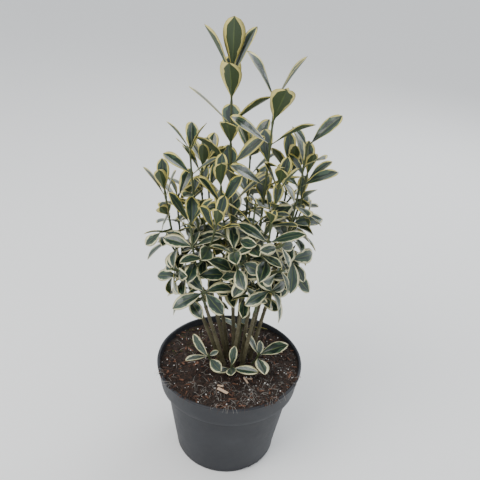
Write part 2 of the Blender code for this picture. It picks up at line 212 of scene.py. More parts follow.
floor_bm = bmesh.new()
bmesh.ops.create_grid(floor_bm, x_segments=1, y_segments=1, size=FLOOR_SIDE / 2)
floor_finish = Finish("floor_paint", FLOOR_COLOUR, 0.9)
floor_finish.bump(floor_finish.noise(4 * MM), 0.1 * MM)
floor = piece_of("floor", floor_bm, [floor_finish.made], smooth=False)

# Pot: a thin round nursery pot, blow-moulded from recycled black plastic, with a deep lip band,
# a beaded rim and rows of drain slots round its foot. It stands free, and holds the compost.
POT_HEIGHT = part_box("pot")[1][2]
POT_RIM_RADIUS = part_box("pot")[1][0]
POT_FOOT_RADIUS = 60.3 * MM
POT_BODY_RADIUS = 74.4 * MM
POT_BAND_RADIUS = 80.7 * MM
POT_BAND_HEIGHT = 27.5 * MM
POT_WALL = 1.3 * MM
POT_FLOOR = 2.6 * MM
POT_BEAD = 1.6 * MM
POT_UNDERSIDE_LIFT = 1.2 * MM
POT_WAVE = 0.45 * MM
POT_WAVE_SIZE = 40 * MM
POT_WAVE_SINK = 0.3 * MM
POT_SIDES = 160
POT_BODY_RINGS = 30
DRAIN_GROUPS = (-52, 68, 188)
DRAIN_STEP = 11
DRAIN_SLOT = (6 * MM, 9 * MM, 5 * MM)

band_foot = POT_HEIGHT - POT_BAND_HEIGHT
pot_outline = [(0, POT_UNDERSIDE_LIFT), (POT_FOOT_RADIUS * 0.8, POT_UNDERSIDE_LIFT)]
pot_outline += [(POT_FOOT_RADIUS * 0.84, 0)]
pot_outline += [(POT_FOOT_RADIUS - 2.2 * MM, 0), (POT_FOOT_RADIUS - 0.6 * MM, 0.6 * MM)]
for i in range(POT_BODY_RINGS + 1):
    share = i / POT_BODY_RINGS
    radius = POT_FOOT_RADIUS + (POT_BODY_RADIUS - POT_FOOT_RADIUS) * share
    pot_outline.append((radius, 2 * MM + (band_foot - 4 * MM) * share))
pot_outline += [(POT_BODY_RADIUS + 0.5 * MM, band_foot - 0.8 * MM)]
pot_outline += [(POT_BAND_RADIUS - 1.2 * MM, band_foot), (POT_BAND_RADIUS, band_foot + 1.0 * MM)]
band_rise = POT_HEIGHT - 2.6 * MM - band_foot
for share in (0.2, 0.5, 0.8, 1):
    radius = POT_BAND_RADIUS + (POT_RIM_RADIUS - POT_BEAD / 2 - POT_BAND_RADIUS) * share
    pot_outline.append((radius, band_foot + 1 * MM + (band_rise - 1 * MM) * share))
for turn in range(-60, 241, 30):
    angle = math.radians(turn)
    out = POT_RIM_RADIUS - POT_BEAD + POT_BEAD * math.cos(angle)
    pot_outline.append((out, POT_HEIGHT - POT_BEAD + POT_BEAD * math.sin(angle)))
pot_outline += [(POT_RIM_RADIUS - 2 * POT_BEAD, POT_HEIGHT - 5 * MM)]
pot_outline += [(POT_BAND_RADIUS - POT_WALL, band_foot + POT_WALL)]
pot_outline += [(POT_BODY_RADIUS - POT_WALL, band_foot + POT_WALL)]
pot_outline += [(POT_FOOT_RADIUS - POT_WALL, POT_FLOOR), (0, POT_FLOOR)]


def turn_round(bm, outline, steps):
    """Spins an outline into a full round."""
    bmesh.ops.spin(
        bm,
        geom=outline,
        axis=(0, 0, 1),
        cent=(0, 0, 0),
        angle=math.tau,
        steps=steps,
        use_merge=True,
    )
    bmesh.ops.remove_doubles(bm, verts=bm.verts, dist=0.01 * MM)


pot_bm = bmesh.new()
points = [pot_bm.verts.new((r, 0, z)) for r, z in pot_outline]
edges = [pot_bm.edges.new(pair) for pair in zip(points, points[1:])]
turn_round(pot_bm, points + edges, POT_SIDES)
for vert in pot_bm.verts:
    out = math.hypot(vert.co.x, vert.co.y)
    wall = out > POT_FOOT_RADIUS * 0.95 and vert.co.z > 4 * MM
    if wall:
        place = Vector((vert.co.x, vert.co.y, vert.co.z * 0.6)) / POT_WAVE_SIZE
        wave = noise.noise(place) * POT_WAVE - POT_WAVE_SINK
        vert.co.x *= 1 + wave / out
        vert.co.y *= 1 + wave / out
bmesh.ops.recalc_face_normals(pot_bm, faces=pot_bm.faces)

pot_finish = Finish("pot_plastic", (0.03, 0.032, 0.038), 0.5, Specular_IOR_Level=0.45)
grime = pot_finish.noise(9 * MM, 6, 0.65)
streak = pot_finish.noise(38 * MM, 3, 0.5)
colour = pot_finish.node(
    "ShaderNodeValToRGB",
    {
        "stops": (
            (0.3, (0.009, 0.01, 0.014, 1)),
            (0.55, (0.015, 0.017, 0.022, 1)),
            (0.75, (0.034, 0.036, 0.041, 1)),
        )
    },
    {0: grime * 0.5 + streak * 0.5},
)
pot_finish.link(colour.out("Color"), pot_finish.shader.inputs["Base Color"])
pot_finish.set("Roughness", 0.42 + grime * 0.28)
pot_finish.bump(pot_finish.noise(0.6 * MM, 2) + streak * 0.8, 0.12 * MM, 0.5)
pot = piece_of("pot_shell", pot_bm, [pot_finish.made])
slots = bpy.data.collections.new("slots")
bpy.context.scene.collection.children.link(slots)
for group in DRAIN_GROUPS:
    for place in (-1, 0, 1):
        slot_bm = bmesh.new()
        turn = Matrix.Rotation(math.radians(group + place * DRAIN_STEP), 4, "Z")
        shift = Matrix.Translation((POT_FOOT_RADIUS, 0, 0))
        bmesh.ops.create_cube(slot_bm, size=1, matrix=turn @ shift @ Matrix.Diagonal((*DRAIN_SLOT, 1)))
        slots.objects.link(piece_of("slot", slot_bm, [pot_finish.made], smooth=False))
cut = pot.modifiers.new("Slots", "BOOLEAN")
cut.operation = "DIFFERENCE"
cut.operand_type = "COLLECTION"
cut.collection = slots
graph = bpy.context.evaluated_depsgraph_get()
pot.data = bpy.data.meshes.new_from_object(pot.evaluated_get(graph))
pot.modifiers.remove(cut)
for cutter in list(slots.objects):
    bpy.data.objects.remove(cutter, do_unlink=True)
bpy.data.collections.remove(slots)
pot.data.set_sharp_from_angle(angle=math.radians(50))
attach(pot, "root")
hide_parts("pot")

# Compost: damp peaty potting mix, heaped a little to the front right and loose at the top.
# It is tilted and lumpy, with crumbs, bark, fibres and grains of perlite lying on it.
SOIL_LEVEL = 118 * MM
SOIL_TILT = 3.2 * MM
SOIL_LUMP = 2.2 * MM
SOIL_LUMP_SIZE = 17 * MM
SOIL_HEAP_BEARING = -50
SOIL_EDGE = POT_RIM_RADIUS - POT_BEAD - POT_WALL - 0.6 * MM
SOIL_DEPTH = 6 * MM
SOIL_RINGS = 60
SOIL_SIDES = 200
SOIL_CLODS = ((6 * MM, 1.6 * MM), (2.2 * MM, 1.1 * MM))
CLUMP = Vector((8 * MM, 4 * MM, SOIL_LEVEL))
CLUMP_FLAT = 46 * MM
CRUMBS = 3600
CRUMB_SIZE = (0.7, 2.6)
PERLITE = 150
PERLITE_SIZE = (0.7, 2.1)
FIBRES = 900
FIBRE_LENGTH = (4, 13)
FIBRE_THICKNESS = (0.25, 0.6)
FIBRE_ARCH = (0.3, 2.4)
BARK_BITS = 260
BARK_LENGTH = (2.5, 8)
PALE_CHIPS = (
    (-5, -53, 13, 4.6),
    (-8, -45, 7, 3),
    (20, -33, 9, 3),
    (24, -30, 7, 2.4),
    (62, 22, 8, 3),
)
OVERHANGS = (205, 222, 236, 300, 309, 336)
FIBRE_OVERHANGS = OVERHANGS + (262, 272, 283, 318)
soil_chance = random.Random(5)


def soil_height(x, y):
    """The lie of the compost: tilted, lumpy, and level round the clump."""
    heap = math.radians(SOIL_HEAP_BEARING)
    along = (x * math.cos(heap) + y * math.sin(heap)) / POT_RIM_RADIUS
    place = Vector((x, y, 0)) / SOIL_LUMP_SIZE
    rough = SOIL_TILT * along + SOIL_LUMP * noise.noise(place)
    away = (Vector((x, y, SOIL_LEVEL)) - CLUMP).length / CLUMP_FLAT
    return SOIL_LEVEL + rough * min(1, max(0, away - 1) * 3)


soil_bm = bmesh.new()
points = [soil_bm.verts.new((SOIL_EDGE * i / SOIL_RINGS, 0, 0)) for i in range(SOIL_RINGS + 1)]
points += [soil_bm.verts.new((out, 0, -SOIL_DEPTH)) for out in (SOIL_EDGE, 0)]
edges = [soil_bm.edges.new(pair) for pair in zip(points, points[1:])]
turn_round(soil_bm, points + edges, SOIL_SIDES)
for vert in soil_bm.verts:
    top = vert.co.z > -SOIL_DEPTH / 2
    vert.co.z += soil_height(vert.co.x, vert.co.y)
    if top:
        place = Vector((vert.co.x, vert.co.y, 0))
        vert.co.z += sum(depth * noise.noise(place / size) for size, depth in SOIL_CLODS)
bmesh.ops.recalc_face_normals(soil_bm, faces=soil_bm.faces)

soil_finish = Finish("compost", (0.02, 0.012, 0.008), 0.95)
clod = soil_finish.noise(3 * MM, 8, 0.7)
patch = soil_finish.noise(22 * MM, 3, 0.5)
earth = soil_finish.node(
    "ShaderNodeValToRGB",
    {
        "stops": (
            (0.3, (0.006, 0.004, 0.003, 1)),
            (0.5, (0.022, 0.013, 0.009, 1)),
            (0.62, (0.05, 0.028, 0.018, 1)),
            (0.75, (0.1, 0.08, 0.06, 1)),
        )
    },
    {0: clod * 0.7 + patch * 0.3},
)
soil_finish.link(earth.out("Color"), soil_finish.shader.inputs["Base Color"])
soil_finish.bump(soil_finish.noise(0.9 * MM, 6, 0.8), 0.8 * MM)
soil = piece_of("compost_bed", soil_bm, [soil_finish.made])
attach(soil, "root")
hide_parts("compost")


def soil_spot(reach=SOIL_EDGE - 1 * MM):
    """A place on the compost, even over its whole face."""
    away = reach * math.sqrt(soil_chance.random())
    angle = soil_chance.uniform(0, math.tau)
    x, y = away * math.cos(angle), away * math.sin(angle)
    return Vector((x, y, soil_height(x, y)))


def any_turn():
    """A random turn about two axes."""
    turn = Matrix.Rotation(soil_chance.uniform(0, math.tau), 4, "Z")
    return turn @ Matrix.Rotation(soil_chance.uniform(0, math.tau), 4, "X")


def lump(bm, place, sizes, slot):
    """One small faceted grain, squeezed and turned at random."""
    matrix = Matrix.Translation(place) @ any_turn() @ Matrix.Diagonal((*sizes, 1))
    made = bmesh.ops.create_icosphere(bm, subdivisions=1, radius=0.5, matrix=matrix)
    for vert in made["verts"]:
        vert.co += (vert.co - place) * soil_chance.uniform(-0.3, 0.3)
    for face in {face for vert in made["verts"] for face in vert.link_faces}:
        face.material_index = slot


DARK, BROWN, RED, GREY, MOSS = range(5)
crumb_finishes = [
    Finish("crumb_dark", (0.012, 0.008, 0.006), 0.95),
    Finish("crumb_brown", (0.035, 0.019, 0.012), 0.95),
    Finish("crumb_red", (0.075, 0.034, 0.02), 0.9),
    Finish("crumb_grey", (0.12, 0.115, 0.105), 0.95),
    Finish("crumb_moss", (0.045, 0.05, 0.014), 0.95),
]
for made in crumb_finishes:
    made.bump(made.noise(0.5 * MM, 5, 0.7), 0.25 * MM)
crumb_bm = bmesh.new()
for _ in range(CRUMBS):
    spot = soil_spot()
    size = soil_chance.uniform(*CRUMB_SIZE) * MM * soil_chance.uniform(0.6, 1.2)
    mossy = spot.x < -20 * MM and spot.y > 5 * MM and soil_chance.random() < 0.35
    grey = spot.x > 15 * MM and spot.y < 20 * MM and soil_chance.random() < 0.4
    plain = None if mossy or grey else soil_chance.choice((DARK, DARK, BROWN, BROWN, RED))
    tint = MOSS if mossy else GREY if grey else plain
    spot.z += size * 0.3
    sizes = (size, size * soil_chance.uniform(0.5, 1), size * soil_chance.uniform(0.4, 0.9))
    lump(crumb_bm, spot, sizes, tint)
for bearing in OVERHANGS:
    for _ in range(26):
        angle = math.radians(bearing + soil_chance.gauss(0, 3.5))
        away = POT_RIM_RADIUS - soil_chance.uniform(-0.8, 7) * MM
        size = soil_chance.uniform(1, 3) * MM
        height = POT_HEIGHT + soil_chance.uniform(-1.0, 1.0) * MM
        spot = Vector((away * math.cos(angle), away * math.sin(angle), height))
        tint = soil_chance.choice((DARK, BROWN, RED))
        lump(crumb_bm, spot, (size, size * 0.7, size * 0.6), tint)
crumbs = piece_of("compost_crumbs", crumb_bm, [made.made for made in crumb_finishes], smooth=False)

perlite_finish = Finish("perlite", (0.72, 0.71, 0.68), 0.8)
perlite_finish.bump(perlite_finish.noise(0.4 * MM, 3), 0.2 * MM)
perlite_bm = bmesh.new()
for _ in range(PERLITE):
    spot = soil_spot()
    size = soil_chance.uniform(*PERLITE_SIZE) * MM
    spot.z += size * 0.5
    lump(perlite_bm, spot, (size, size * 0.8, size * 0.7), 0)
perlite = piece_of("perlite_grains", perlite_bm, [perlite_finish.made], smooth=False)


def chip(bm, place, length, width, thick, slot):
    """A flat split of bark or wood, tapered at both ends."""
    turn = Matrix.Rotation(soil_chance.uniform(0, math.tau), 4, "Z")
    turn = turn @ Matrix.Rotation(math.radians(soil_chance.uniform(-22, 22)), 4, "Y")
    size = Matrix.Diagonal((length, width, thick, 1))
    made = bmesh.ops.create_cube(bm, size=1, matrix=Matrix.Translation(place) @ turn @ size)["verts"]
    way = turn.to_3x3() @ Vector((0, 1, 0))
    for vert in made:
        off = (vert.co - place).dot(way)
        vert.co -= way * off * soil_chance.uniform(0.1, 0.8)
    for face in {face for vert in made for face in vert.link_faces}:
        face.material_index = slot


BARK, RED_BARK, PALE_WOOD = range(3)
chip_finishes = [
    Finish("bark_chip", (0.06, 0.028, 0.016), 0.85),
    Finish("red_chip", (0.14, 0.06, 0.032), 0.85),
    Finish("pale_chip", (0.55, 0.4, 0.28), 0.75),
]
for made in chip_finishes:
    made.bump(made.noise(0.7 * MM, 5, 0.6), 0.2 * MM)
chip_bm = bmesh.new()
for _ in range(BARK_BITS):
    spot = soil_spot()
    spot.z += 0.9 * MM
    length = soil_chance.uniform(*BARK_LENGTH) * MM
    width = length * soil_chance.uniform(0.2, 0.5)
    tint = soil_chance.choice((BARK, BARK, RED_BARK, RED_BARK))
    chip(chip_bm, spot, length, width, 0.6 * MM, tint)
for x, y, length, width in PALE_CHIPS:
    spot = Vector((x * MM, y * MM, soil_height(x * MM, y * MM) + 2 * MM))
    chip(chip_bm, spot, length * MM, width * MM, 0.8 * MM, PALE_WOOD)
chips = piece_of("bark_chips", chip_bm, [made.made for made in chip_finishes], smooth=False)


def fibre(bm, place, bearing, length, thick, arch, slot):
    """A fine root or coir fibre: a bent three-sided thread."""
    way = Vector((math.cos(bearing), math.sin(bearing), 0))
    side = Vector((-way.y, way.x, 0))
    across = Matrix.Rotation(bearing + math.pi / 2, 4, "Z") @ Matrix.Rotation(math.pi / 2, 4, "X")
    bend = soil_chance.uniform(-0.5, 0.5)
    rings = []
    for i in range(6):
        share = i / 5
        centre = place + way * length * share + side * bend * length * share * share
        centre.z += math.sin(share * math.pi) * arch - share * share * arch * 0.6
        size = thick * (1 - 0.6 * share)
        matrix = Matrix.Translation(centre) @ across
        made = bmesh.ops.create_circle(bm, segments=3, radius=size / 2, matrix=matrix)
        rings.append(made["verts"])
    for low, high in zip(rings, rings[1:]):
        for i in range(3):
            j = (i + 1) % 3
            bm.faces.new((low[i], low[j], high[j], high[i])).material_index = slot
    bm.faces.new(rings[0]).material_index = slot
    bm.faces.new(rings[-1]).material_index = slot


BROWN_ROOT, GREY_ROOT, DARK_ROOT = range(3)
fibre_finishes = [
    Finish("fibre_brown", (0.06, 0.032, 0.022), 0.9),
    Finish("fibre_grey", (0.3, 0.28, 0.25), 0.9),
    Finish("fibre_dark", (0.02, 0.013, 0.01), 0.95),
]
for made in fibre_finishes:
    made.bump(made.noise(0.6 * MM, 2), 0.05 * MM)
fibre_bm = bmesh.new()
for _ in range(FIBRES):
    spot = soil_spot(SOIL_EDGE - 4 * MM)
    spot.z += 0.8 * MM
    front = spot.y < -38 * MM and abs(spot.x) < 40 * MM
    tint = GREY_ROOT
    if not (front and soil_chance.random() < 0.6):
        tint = soil_chance.choice((BROWN_ROOT, BROWN_ROOT, GREY_ROOT, DARK_ROOT, DARK_ROOT))
    bearing = soil_chance.uniform(0, math.tau)
    room = SOIL_EDGE + 1.5 * MM - math.hypot(spot.x, spot.y)
    length = min(soil_chance.uniform(*FIBRE_LENGTH) * MM, room)
    thick = soil_chance.uniform(*FIBRE_THICKNESS) * MM
    arch = soil_chance.uniform(*FIBRE_ARCH) * MM
    fibre(fibre_bm, spot, bearing, length, thick, arch, tint)
for bearing in FIBRE_OVERHANGS:
    for _ in range(7):
        angle = math.radians(bearing + soil_chance.gauss(0, 3))
        away = POT_RIM_RADIUS - 5 * MM
        spot = Vector((away * math.cos(angle), away * math.sin(angle), POT_HEIGHT + 0.6 * MM))
        lean = angle + soil_chance.uniform(-0.7, 0.7)
        length = soil_chance.uniform(5, 11) * MM
        arch = soil_chance.uniform(0.5, 5) * MM
        tint = soil_chance.choice((BROWN_ROOT, BROWN_ROOT, GREY_ROOT))
        fibre(fibre_bm, spot, lean, length, 0.45 * MM, arch, tint)
bmesh.ops.recalc_face_normals(fibre_bm, faces=fibre_bm.faces)
fibres = piece_of("compost_fibres", fibre_bm, [made.made for made in fibre_finishes], smooth=False)
for part in (crumbs, perlite, chips, fibres):
    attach(part, "root")

# Canes: eleven bare woody stems from one clump, olive to grey brown, a little rough.
# Each flares at the ground, tapers, and is ringed by the scars of fallen leaves.
GAP = 0.3 * MM
CANE_RADIUS = 2.6 * MM
CANE_TOP_RADIUS = 1.9 * MM
CANE_FLARE = 1.0 * MM
CANE_FLARE_HEIGHT = 9 * MM
CANE_TOP = 212 * MM
SCAR_STEP = 17 * MM
SCAR_DEPTH = 0.35 * MM
SCAR_HALF_LENGTH = 1.8 * MM
CANE_SIDES = 20
NODE_GAP = 21
NEAR_GAP = 5
# For each stem: foot, top bud, length of its leaves, bearing of the top pair, how far the pair
# opens, and the gap to the next pair, all in millimetres and degrees.
STEMS = {
    "leader": ((5, 8), (-14, 0, 451), 56, 92, 9, NEAR_GAP),
    "right_leader": ((14, 2), (26, -14, 433), 56, 8, 30, NODE_GAP),
    "right": ((24, 8), (61, -5, 389), 46, 14, 36, NODE_GAP),
    "left": ((-4, 7), (-50, -10, 381), 38, 172, 30, NEAR_GAP),
    "far_left": ((-11, 0), (-73, -15, 337), 35, 80, 12, NEAR_GAP),
    "front_left": ((-6, -7), (-45, -40, 316), 42, 172, 24, NEAR_GAP),
    "front": ((4, -9), (15, -37, 338), 40, 95, 32, NODE_GAP),
    "front_right": ((15, -8), (31, -48, 326), 40, 84, 34, NODE_GAP),
    "back_left": ((-3, 17), (-36, 40, 346), 42, 60, 22, NEAR_GAP),
    "back": ((8, 20), (8, 46, 362), 44, 25, 22, NEAR_GAP),
    "back_right": ((20, 18), (50, 34, 350), 42, 110, 22, NEAR_GAP),
}


class Curve:
    """A stem's smooth middle line, read by the distance along it from its foot."""

    PIECES = 60

    def __init__(self, foot, foot_way, top, top_way, stiff=0.4):
        reach = (top - foot).length * stiff
        rods = (foot, foot + foot_way * reach, top - top_way * reach, top)
        self.points = [self.bezier(rods, i / self.PIECES) for i in range(self.PIECES + 1)]
        self.lengths = [0]
        for a, b in zip(self.points, self.points[1:]):
            self.lengths.append(self.lengths[-1] + (b - a).length)
        self.length = self.lengths[-1]

    @staticmethod
    def bezier(rods, t):
        a, b, c, d = rods
        s = 1 - t
        return a * s**3 + b * 3 * s * s * t + c * 3 * s * t * t + d * t**3

    def at(self, along):
        """(place, way) this far along."""
        i = 0
        while i < self.PIECES - 1 and self.lengths[i + 1] < along:
            i += 1
        a, b = self.points[i], self.points[i + 1]
        share = (along - self.lengths[i]) / (self.lengths[i + 1] - self.lengths[i])
        return a.lerp(b, min(1, max(0, share))), (b - a).normalized()

    def along_at_height(self, z):
        for here, point in zip(self.lengths, self.points):
            if point.z >= z:
                return here
        return self.length


def stations(curve, start, end, step, radius, end_radius):
    """(place, way, radius) at even steps along a tapering stretch."""
    count = max(2, round((end - start) / step))
    found = []
    for i in range(count + 1):
        share = i / count
        place, way = curve.at(start + (end - start) * share)
        found.append((place, way, radius + (end_radius - radius) * share))
    return found


def tube(rings, sides):
    """A tapering rod through (place, way, radius) rings, capped at both ends."""
    bm = bmesh.new()
    loops = []
    for place, way, radius in rings:
        across = (Vector((1, 0, 0)) - way * way.x).normalized()
        turn = Matrix((across, way.cross(across), way)).transposed().to_4x4()
        matrix = Matrix.Translation(place) @ turn
        made = bmesh.ops.create_circle(bm, segments=sides, radius=radius, matrix=matrix)
        loops.append(made["verts"])
    for low, high in zip(loops, loops[1:]):
        for i in range(sides):
            j = (i + 1) % sides
            bm.faces.new((low[i], low[j], high[j], high[i]))
    bm.faces.new(loops[0])
    bm.faces.new(loops[-1])
    bmesh.ops.recalc_face_normals(bm, faces=bm.faces)
    return bm


def roughened(bm, depth, size):
    """Bark relief: every point moved a little along its normal."""
    bm.normal_update()
    moves = [vert.normal * depth * noise.noise(vert.co / size) for vert in bm.verts]
    for vert, move in zip(bm.verts, moves):
        vert.co += move
    return bm


def upward(lean):
    """A way up that leans along lean."""
    return (Vector((0, 0, 1)) + lean).normalized()


def stem_curve(foot, top):
    """A stem's line from its foot on the compost to its top bud."""
    foot = Vector((foot[0] * MM, foot[1] * MM, SOIL_LEVEL + GAP))
    top = Vector(top) * MM
    lean = (top - foot) / (top.z - foot.z)
    lean.z = 0
    return Curve(foot, upward(lean * 1.1), top, upward(lean * 0.4))


def cane_rings(curve, step):
    """A cane's rings, and how far along its curve it ends."""
    end = curve.along_at_height(CANE_TOP)
    rings = stations(curve, 0, end, step, CANE_RADIUS, CANE_TOP_RADIUS)
    place, way, radius = rings[0]
    flare = stations(curve, CANE_FLARE_HEIGHT / 3, CANE_FLARE_HEIGHT, CANE_FLARE_HEIGHT, radius, radius)
    foot = (place, Vector((0, 0, 1)), radius + CANE_FLARE)
    return [foot] + flare[::2] + rings[1:], end


bark_finish = Finish("bark", (0.1, 0.085, 0.05), 0.7)
grain = bark_finish.noise(2.2 * MM, 5, 0.65)
bark_colour = bark_finish.node(
    "ShaderNodeValToRGB",
    {
        "stops": (
            (0.3, (0.035, 0.027, 0.017, 1)),
            (0.5, (0.08, 0.07, 0.032, 1)),
            (0.7, (0.14, 0.12, 0.075, 1)),
        )
    },
    {0: grain * 0.6 + bark_finish.noise(14 * MM, 2) * 0.4},
)
bark_finish.link(bark_colour.out("Color"), bark_finish.shader.inputs["Base Color"])
bark_finish.bump(bark_finish.noise(0.7 * MM, 4, 0.7), 0.25 * MM)
curves = {}
for name, (foot, top, *leafing) in STEMS.items():
    curve = stem_curve(foot, top)
    curves[name] = curve
    rings = cane_rings(curve, 1.5 * MM)[0]
    scarred = []
    for place, way, radius in sorted(rings, key=lambda ring: ring[0].z):
        flare = CANE_FLARE * max(0, 1 - (place.z - SOIL_LEVEL) / CANE_FLARE_HEIGHT) ** 2
        off_scar = abs((place.z + len(name) * 3 * MM) % SCAR_STEP - 3 * MM)
        scar = SCAR_DEPTH * max(0, 1 - off_scar / SCAR_HALF_LENGTH)
        scarred.append((place, way, min(radius, CANE_RADIUS) + flare + scar - 0.1 * MM))
    wood = roughened(tube(scarred, CANE_SIDES), 0.35 * MM, 1.6 * MM)
    cane = piece_of("cane_bark_" + name, wood, [bark_finish.made])
    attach(cane, "root")
    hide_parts("cane_" + name)

# Twigs and leaves: each foliage mass is one stem with side shoots, in green bark, and leaves in
# opposite pairs, every pair at a right angle to the next. Long and upright above, short below.
TWIG_RADIUS = 1.8 * MM
TWIG_TIP_RADIUS = 1.1 * MM
SEED = 23
TWIG_STEP = 30 * MM
TWIG_SIDES = 10
SIDE_RADIUS = 1.3 * MM
LEAF_OUTLINE = ((0, 0), (0.42, 0.78), (0.74, 0.96), (1, 0))
LEAF_WIDTH = 0.37
LOW_LEAF_WIDTH = 0.47
LEAF_THICKNESS = 0.016
LEAF_LEAST = 0.6 * MM
LEAF_KEEL = (0.1, 0.34)
LEAF_ROLL = 36
LEAF_CLEARANCE = 0.45 * MM
LEAF_TRIES = 6
TOP_BUD = 1.4 * MM
LOW_NODE_GAP = 17 * MM
NODE_SHARES = (0.94, 1.0, 0.93, 0.88)
BARE_FOOT = 5 * MM
DOME_TOP = 318 * MM
DOME_FULL = 268 * MM
DOME_OPENING = 80
DOME_LEAF = 0.78
DOME_DROOP = 24
WHORL_HEIGHTS = (234, 266)
FINE_WHORL_HEIGHTS = (222, 246, 256, 280, 294, 310)
WHORL_REACH = (12, 27)
WHORL_RISE = (5, 42)
WHORL_LEAF = 37
WHORL_ROOM = 3 * MM
FINE_WHORL_LEAF = 27
FINE_WHORL_ROOM = 1.4 * MM
SECOND_TRIES = (0.72, 0.5)
WHORL_SPREAD = 75
WHORL_OPENING = 66
CROWN = ((125, 80), (200, 84), (236, 100), (354, 102), (425, 98), (480, 70), (510, 46))
CROWN_LEAN = -0.02
# Side shoots: the stem and the height that each leaves it at, then as for a stem.
SIDE_SHOOTS = (
    ("leader", 268, (-18, -30, 351), 40, 92, 14, NODE_GAP),
    ("right_leader", 284, (36, -32, 358), 34, 80, 16, NEAR_GAP),
    ("right", 290, (66, 14, 352), 38, 95, 24, NEAR_GAP),
    ("left", 262, (-40, 16, 352), 38, 80, 22, NEAR_GAP),
    ("front", 250, (-2, -58, 300), 38, 95, 38, NEAR_GAP),
    ("front_left", 262, (-20, -52, 322), 36, 85, 28, NEAR_GAP),
    ("far_left", 250, (-64, 16, 318), 36, 60, 26, NEAR_GAP),
    ("back", 262, (14, 66, 312), 38, 60, 30, NEAR_GAP),
    ("back_right", 258, (70, 46, 306), 36, 130, 30, NEAR_GAP),
    ("back_left", 258, (-52, 56, 306), 36, 40, 30, NEAR_GAP),
)
SPRIGS = {
    "left": ((-16, -8), (-24, -18, 140), 34, 215, 58, NEAR_GAP),
    "front": ((2, -18), (3, -27, 134), 32, 265, 50, NEAR_GAP),
    "right": ((26, -4), (33, -9, 139), 40, 12, 52, NEAR_GAP),
    "back": ((10, 31), (12, 40, 140), 34, 70, 52, NEAR_GAP),
}
FINE_ROWS = 14
PETIOLE = 0.1
BLADE_THICKNESS = 0.011
BLADE_LEAST = 0.45 * MM
EDGE_WAVE = (0.01, 0.035)
TIP_HOOK = (0.0, 0.14)
TIP_HOOK_START = 0.55
PALE_EDGE_START = (0.6, 0.86)
PALE_EDGE_LIMITS = (0.12, 0.93)
CORE_LIMITS = (0.25, 0.92)
RIB_SHARE = 0.02
RIB = 0.35 * MM
GROOVE = 0.2 * MM
NODE_SWELLING = 0.55 * MM
NODE_SWELLING_LENGTH = 2.5 * MM
DARK_GREEN, BLUE_GREEN, SPLASH, YELLOW_EDGE, CREAM_EDGE, UNDERSIDE, UNDERSIDE_EDGE, MIDRIB = range(8)


def leaf_blade(bm, pose, grow=0.0, from_station=0):
    """A leaf's plain body, by which room for it is found."""
    root, way, up, length, width, keel, curl = pose
    side = way.cross(up)
    outline = LEAF_OUTLINE[from_station:]
    thick = max(LEAF_LEAST, LEAF_THICKNESS * length) / 2 + grow
    for face in (1, -1):
        rows = len(outline) - 1
        made = bmesh.ops.create_grid(bm, x_segments=2, y_segments=rows, size=1)["verts"]
        for vert in made:
            column = round(vert.co.x)
            share, half = outline[round((vert.co.y + 1) / 2 * rows)]
            half = half * width / 2 + (grow if half else 0)
            bend = curl * share
            ahead = way * math.cos(bend) - up * math.sin(bend)
            above = up * math.cos(bend) + way * math.sin(bend)
            rise = keel * half * abs(column) + thick * face * (column == 0) * (share < 1)
            vert.co = root + ahead * (length * share) + side * (half * column) + above * rise
    bmesh.ops.triangulate(bm, faces=bm.faces, quad_method="FIXED")
    bmesh.ops.remove_doubles(bm, verts=bm.verts, dist=0.01 * MM)


def leaf_pose(curve, along, bearing, opening, length, width, keel, roll, curl):
    """Where a leaf sits: (root, its way, its upper side, length, width, keel, curl)."""
    place, way = curve.at(along)
    out = Vector((math.cos(bearing), math.sin(bearing), 0))
    out = (out - way * out.dot(way)).normalized()
    ahead = way * math.cos(opening) + out * math.sin(opening)
    up = way * math.sin(opening) - out * math.cos(opening)
    up = Matrix.Rotation(roll, 3, ahead) @ up
    return place - ahead * (0.3 * MM), ahead, up, length, width, keel, curl


class Space:
    """What stands already, so that nothing new runs into it."""

    def __init__(self):
        self.items = []

    @staticmethod
    def bounds(bm):
        corners = [vert.co for vert in bm.verts]
        low = [min(c[i] for c in corners) for i in range(3)]
        high = [max(c[i] for c in corners) for i in range(3)]
        return low, high

    def add(self, twig, part, bm):
        self.items.append((twig, part, *self.bounds(bm), BVHTree.FromBMesh(bm)))

    def meets(self, bm, wanted):
        """True if the bmesh cuts an item for which wanted(twig, part) holds."""
        low, high = self.bounds(bm)
        tree = BVHTree.FromBMesh(bm)
        for twig, part, item_low, item_high, item in self.items:
            apart = any(high[i] < item_low[i] or low[i] > item_high[i] for i in range(3))
            if not apart and wanted(twig, part) and item.overlap(tree):
                return True
        return False


def crown_reach(z):
    """How far from the crown's middle a leaf may reach at this height."""
    heights = [(height * MM, reach * MM) for height, reach in CROWN]
    for (low, reach), (high, higher_reach) in zip(heights, heights[1:]):
        if z <= high:
            return reach + (higher_reach - reach) * max(0, z - low) / (high - low)
    return heights[-1][1]


def in_crown(place):
    """True inside the crown's outline."""
    middle = CROWN_LEAN * (place.z - SOIL_LEVEL)
    return math.hypot(place.x - middle, place.y) < crown_reach(place.z)


def leaf_fits(space, twig, pose):
    """True if the leaf, a little swollen, is in the crown and clear of all but its own root."""
    root, way, up, length, width, keel, curl = pose
    tip = root + (way * math.cos(curl) - up * math.sin(curl)) * length
    if not in_crown(tip):
        return False
    whole = bmesh.new()
    leaf_blade(whole, pose, LEAF_CLEARANCE)
    blade = bmesh.new()
    leaf_blade(blade, pose, LEAF_CLEARANCE, 1)
    meets = space.meets(whole, lambda other, part: other != twig and part != "blade")
    meets = meets or space.meets(blade, lambda other, part: other == twig and part != "root")
    whole.free()
    blade.free()
    return not meets


def dome_share(z):
    """0 among the upright shoots, 1 down in the dome of spreading leaves."""
    return min(1, max(0, (DOME_TOP - z) / (DOME_TOP - DOME_FULL)))


